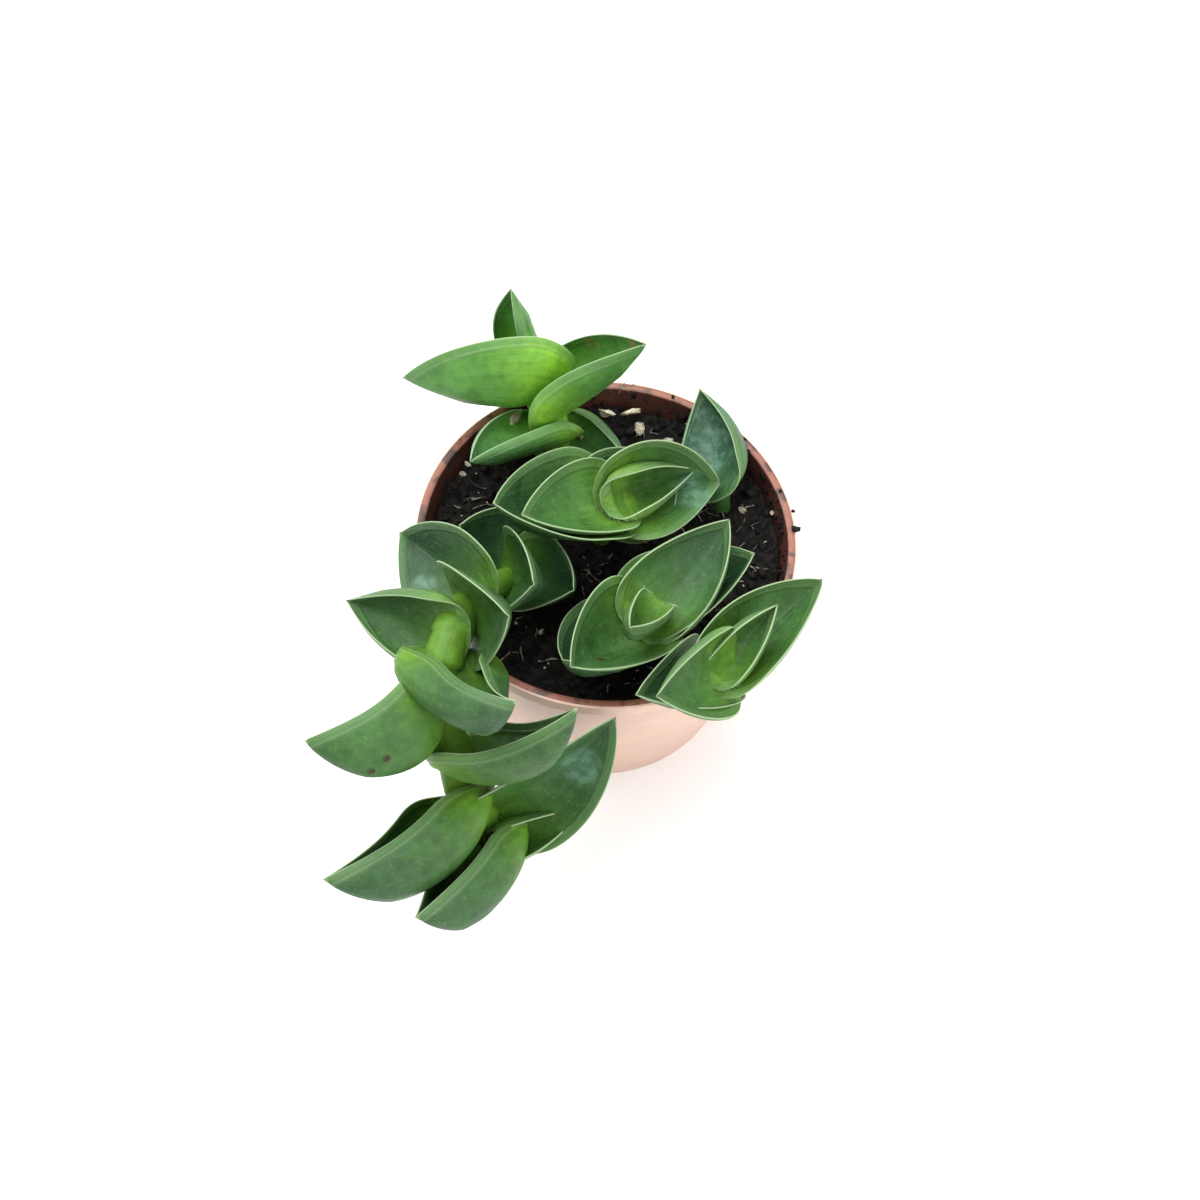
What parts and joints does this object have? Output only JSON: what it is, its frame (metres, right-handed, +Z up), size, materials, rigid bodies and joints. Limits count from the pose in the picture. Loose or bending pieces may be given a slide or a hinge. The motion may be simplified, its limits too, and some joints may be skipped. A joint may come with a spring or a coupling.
{
  "type": "potted trailing succulent",
  "caption": "Small potted chain plant: upright shoots of boat-shaped leaves in two ranks, one shoot trailing over the rim of a plain tapered pot.",
  "frame": {"origin": "centre of the pot's underside", "axes": "+Z up along the pot's axis, +Y to the back, +X to the right; the trailing shoot hangs at the front left"},
  "size_m": [0.0736, 0.095, 0.0647],
  "materials": {
    "pot": "satin",
    "soil": "matte",
    "leaf": "satin",
    "young_leaf": "satin",
    "old_leaf": "satin"
  },
  "bodies": {
    "root": {"pot": "pot", "soil": "soil", "shoot_back_left": "young_leaf", "shoot_centre": "leaf", "shoot_front": "leaf", "shoot_front_right": "leaf", "shoot_back_right": "old_leaf", "shoot_trailing": "leaf"}
  },
  "joints": []
}
